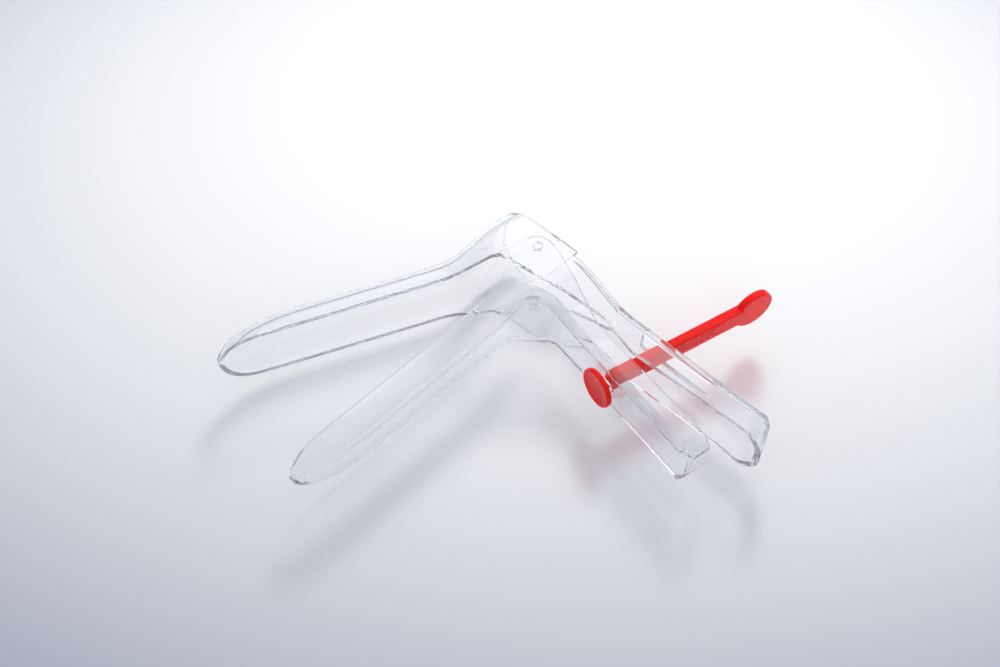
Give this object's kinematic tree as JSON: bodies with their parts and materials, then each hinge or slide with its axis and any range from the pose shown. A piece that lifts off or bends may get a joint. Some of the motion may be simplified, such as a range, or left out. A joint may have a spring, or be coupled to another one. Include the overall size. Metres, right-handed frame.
{
  "type": "bivalve speculum",
  "caption": "Disposable two-bladed speculum of clear moulded plastic, hinged at the yoke, with a toothed locking bar through both handles.",
  "frame": {"origin": "on the hinge axis, at the outer face of the lower cheek, on which the part lies on its side", "axes": "+Z along the hinge axis, up through the part as it lies; -X along the lower blade to its tip; -Y down the handles, with the rear handle along it"},
  "size_m": [0.1577, 0.1463, 0.034],
  "materials": {
    "clear_plastic": "crystal-clear injection-moulded plastic, polished",
    "red_plastic": "glossy translucent red injection-moulded plastic"
  },
  "bodies": {
    "lower_valve": {"lower_valve": "clear_plastic"},
    "upper_valve": {"upper_valve": "clear_plastic"},
    "locking_bar": {"locking_bar": "red_plastic"}
  },
  "joints": [
    {"name": "blade_hinge", "type": "hinge", "parent": "lower_valve", "child": "upper_valve", "pos_m": [0, 0, 0.017], "axis": [0, 0, 1], "range_deg": [0, 23.5]},
    {"name": "bar_swing", "type": "hinge", "parent": "lower_valve", "child": "locking_bar", "pos_m": [-0.01539, -0.0453, 0.017], "axis": [0, 0, 1], "range_deg": [0, 10]}
  ]
}
